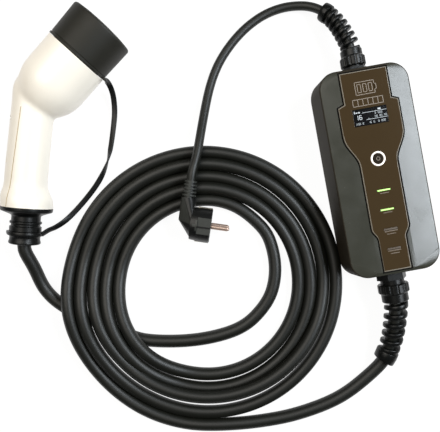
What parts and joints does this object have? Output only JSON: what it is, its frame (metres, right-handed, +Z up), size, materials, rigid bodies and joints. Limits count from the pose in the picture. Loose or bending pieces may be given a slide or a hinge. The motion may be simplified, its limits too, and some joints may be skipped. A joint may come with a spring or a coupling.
{
  "type": "portable electric vehicle charger",
  "caption": "Portable charger for electric cars: control box with display, coiled cable, angled mains plug and vehicle connector with a tethered rubber cap.",
  "frame": {"origin": "middle of the control box's flat back, on the surface that the charger lies on", "axes": "+Z up from that surface; +X from the connector towards the control box; +Y from the vehicle cable's gland towards the mains lead's gland, with the box itself turned 10.2 degrees anticlockwise"},
  "size_m": [0.4433, 0.4595, 0.0715],
  "materials": {
    "housing": "satin black moulded plastic",
    "panel": "dark brown gloss panel",
    "window": "dark display glass",
    "light_ring": "white translucent ring",
    "button": "dark satin button",
    "lamp_lit": "green lamp, lit",
    "lamp_dark": "tinted lamp, unlit",
    "gland": "black nylon",
    "cable": "charcoal cable jacket",
    "plug": "black moulded plug",
    "pin_metal": "plated pins",
    "clip_metal": "spring metal",
    "white_shell": "warm white moulded shell",
    "cap": "soft black rubber",
    "boot": "black rubber",
    "carrier": "black insulating plastic",
    "contact": "plated contact sleeves",
    "board": "green circuit board",
    "component": "dark component case",
    "terminal": "green terminal block",
    "screw": "zinc plated screws",
    "seal": "black seal"
  },
  "bodies": {
    "unit": {"front_housing": "housing", "rear_cover": "housing", "case_seal": "seal", "case_screws": "screw", "front_panel": "panel", "display_window": "window", "display_module": "component", "button_ring": "light_ring", "button_switch": "component", "charge_lamps": "lamp_lit", "status_lamps": "lamp_dark", "interface_board": "board", "interface_screws": "screw", "control_board": "board", "board_screws": "screw", "power_relays": "component", "leakage_sensor": "component", "supply_module": "component", "filter_capacitors": "component", "input_terminals": "terminal", "output_terminals": "terminal", "mains_gland_body": "gland", "mains_gland_nut": "gland", "mains_bend_spiral": "gland", "mains_bend_collar": "gland", "mains_gland_seal": "seal", "mains_gland_locknut": "gland", "vehicle_gland_body": "gland", "vehicle_gland_nut": "gland", "vehicle_bend_spiral": "gland", "vehicle_bend_collar": "gland", "vehicle_gland_seal": "seal", "vehicle_gland_locknut": "gland", "mains_cable": "cable", "plug_body": "plug", "plug_pins": "pin_metal", "plug_earth_clips": "clip_metal", "vehicle_lead": "cable", "cable_coil": "cable", "vehicle_tail": "cable", "connector_shell": "white_shell", "handle_back": "white_shell", "handle_screws": "screw", "contact_carrier": "carrier", "power_contacts": "contact", "signal_contacts": "contact", "cable_clamp": "carrier", "cable_boot": "boot", "cap_tether": "cap"},
    "button": {"mode_button": "button"},
    "cap": {"protective_cap": "cap"}
  },
  "joints": [
    {"name": "cap_pull", "type": "slide", "parent": "unit", "child": "cap", "axis": [0.669, 0.7418, 0.0463], "range_m": [0, 0.038]},
    {"name": "button_press", "type": "slide", "parent": "unit", "child": "button", "axis": [0, 0, -1], "range_m": [0, 0.0008], "stiffness_N_per_m": 800}
  ]
}
